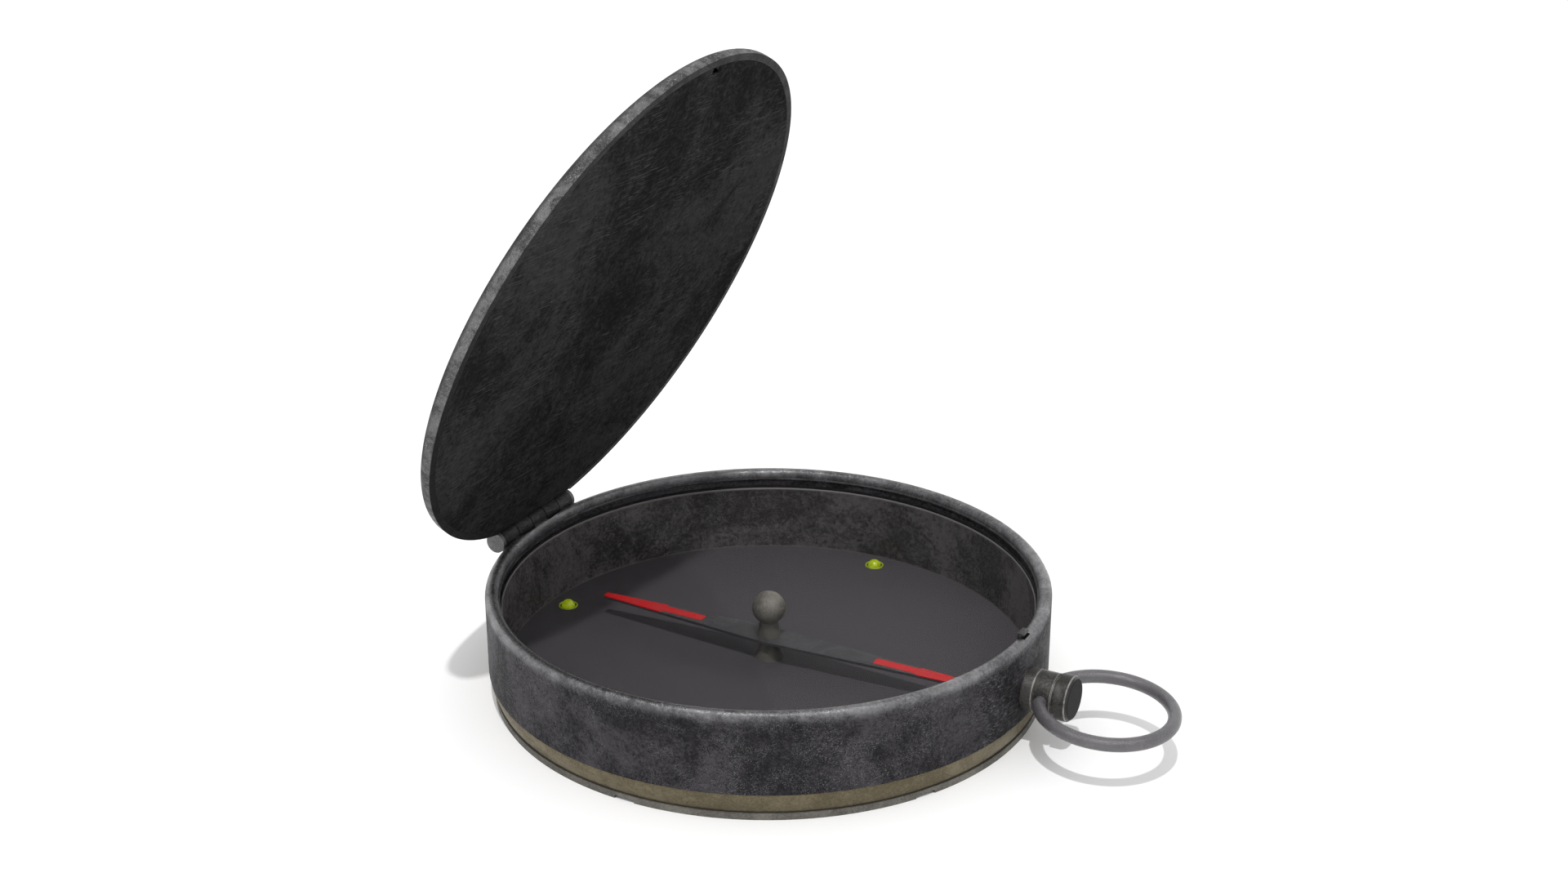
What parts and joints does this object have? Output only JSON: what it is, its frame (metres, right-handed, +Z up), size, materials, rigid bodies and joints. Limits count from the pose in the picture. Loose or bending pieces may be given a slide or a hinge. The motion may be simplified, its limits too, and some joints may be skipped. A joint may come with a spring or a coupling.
{
  "type": "lidded pocket compass",
  "caption": "Round dark-metal pocket compass with a hinged lid, a glass over a needle on a pivot, green luminous beads, a push-button crown and a bow ring.",
  "frame": {"origin": "centre of the flat bottom face of the back cover", "axes": "+Z up out of the dial, +X from the hinge towards the pendant, crown and bow ring, Y along the hinge axis"},
  "size_m": [0.0779, 0.06, 0.067],
  "materials": {
    "gunmetal": "weathered dark gunmetal, cloudy grey wear",
    "gunmetal_lid": "weathered dark gunmetal, finely scratched",
    "gunmetal_inner": "dark, mottled",
    "gunmetal_foot": "dark, worn",
    "liner_black": "blackened, scratched",
    "worn_brass": "dull olive tan brass, worn edges",
    "dial_grey": "smooth satin grey",
    "needle_grey": "satin grey, lighter edges",
    "red_enamel": "semi-gloss red enamel",
    "luminous_green": "glossy yellow-green luminous resin",
    "green_wire": "glossy yellow-green",
    "crystal_glass": "clear",
    "black_rubber": "matt black",
    "pale_metal": "warm pale grey metal",
    "ball_metal": "warm pale grey metal, satin",
    "bright_steel": "polished",
    "pin_steel": "grey steel, satin",
    "hinge_steel": "dark steel",
    "pendant_steel": "dark steel, satin, bright edges",
    "bow_steel": "lighter grey satin steel",
    "ruby_jewel": "polished synthetic ruby"
  },
  "bodies": {
    "case": {"case_body": "gunmetal", "brass_band": "worn_brass", "back_cover": "gunmetal_foot", "cover_seal": "black_rubber", "dial_plate": "dial_grey", "spacer_ring": "gunmetal_inner", "crystal_seal": "black_rubber", "crystal": "crystal_glass", "snap_ring": "gunmetal", "luminous_beads": "luminous_green", "bead_rings": "green_wire", "pivot_post": "pale_metal", "pivot_pin": "bright_steel", "case_knuckles": "hinge_steel", "hinge_pin": "pin_steel", "pin_cap": "pin_steel", "pendant_tube": "pendant_steel", "crown_spring": "bright_steel"},
    "lid": {"lid_shell": "gunmetal_lid", "lid_liner": "liner_black", "lid_knuckles": "hinge_steel"},
    "needle": {"compass_needle": "needle_grey", "short_arm_arrow": "red_enamel", "long_arm_arrow": "red_enamel", "needle_hub": "pale_metal", "jewel": "ruby_jewel", "hub_ball": "ball_metal"},
    "crown": {"crown": "pendant_steel", "crown_stem": "bright_steel", "lid_catch": "hinge_steel"},
    "bow": {"bow_ring": "bow_steel"}
  },
  "joints": [
    {"name": "lid_hinge", "type": "hinge", "parent": "case", "child": "lid", "pos_m": [-0.0304, 0, 0.0118], "axis": [0, -1, 0], "range_deg": [-65.2, 39.8]},
    {"name": "needle_spin", "type": "hinge", "parent": "case", "child": "needle", "pos_m": [0, 0, 0.0048], "axis": [0, 0, 1], "continuous": true},
    {"name": "crown_push", "type": "slide", "parent": "case", "child": "crown", "axis": [-1, 0, 0], "range_m": [0, 0.0004], "stiffness_N_per_m": 500, "springref_m": -0.0006, "deforming": ["crown_spring"]},
    {"name": "bow_swing", "type": "hinge", "parent": "case", "child": "bow", "pos_m": [0.03214, 0, 0.006], "axis": [0, -1, 0], "range_deg": [-102, 107]}
  ]
}
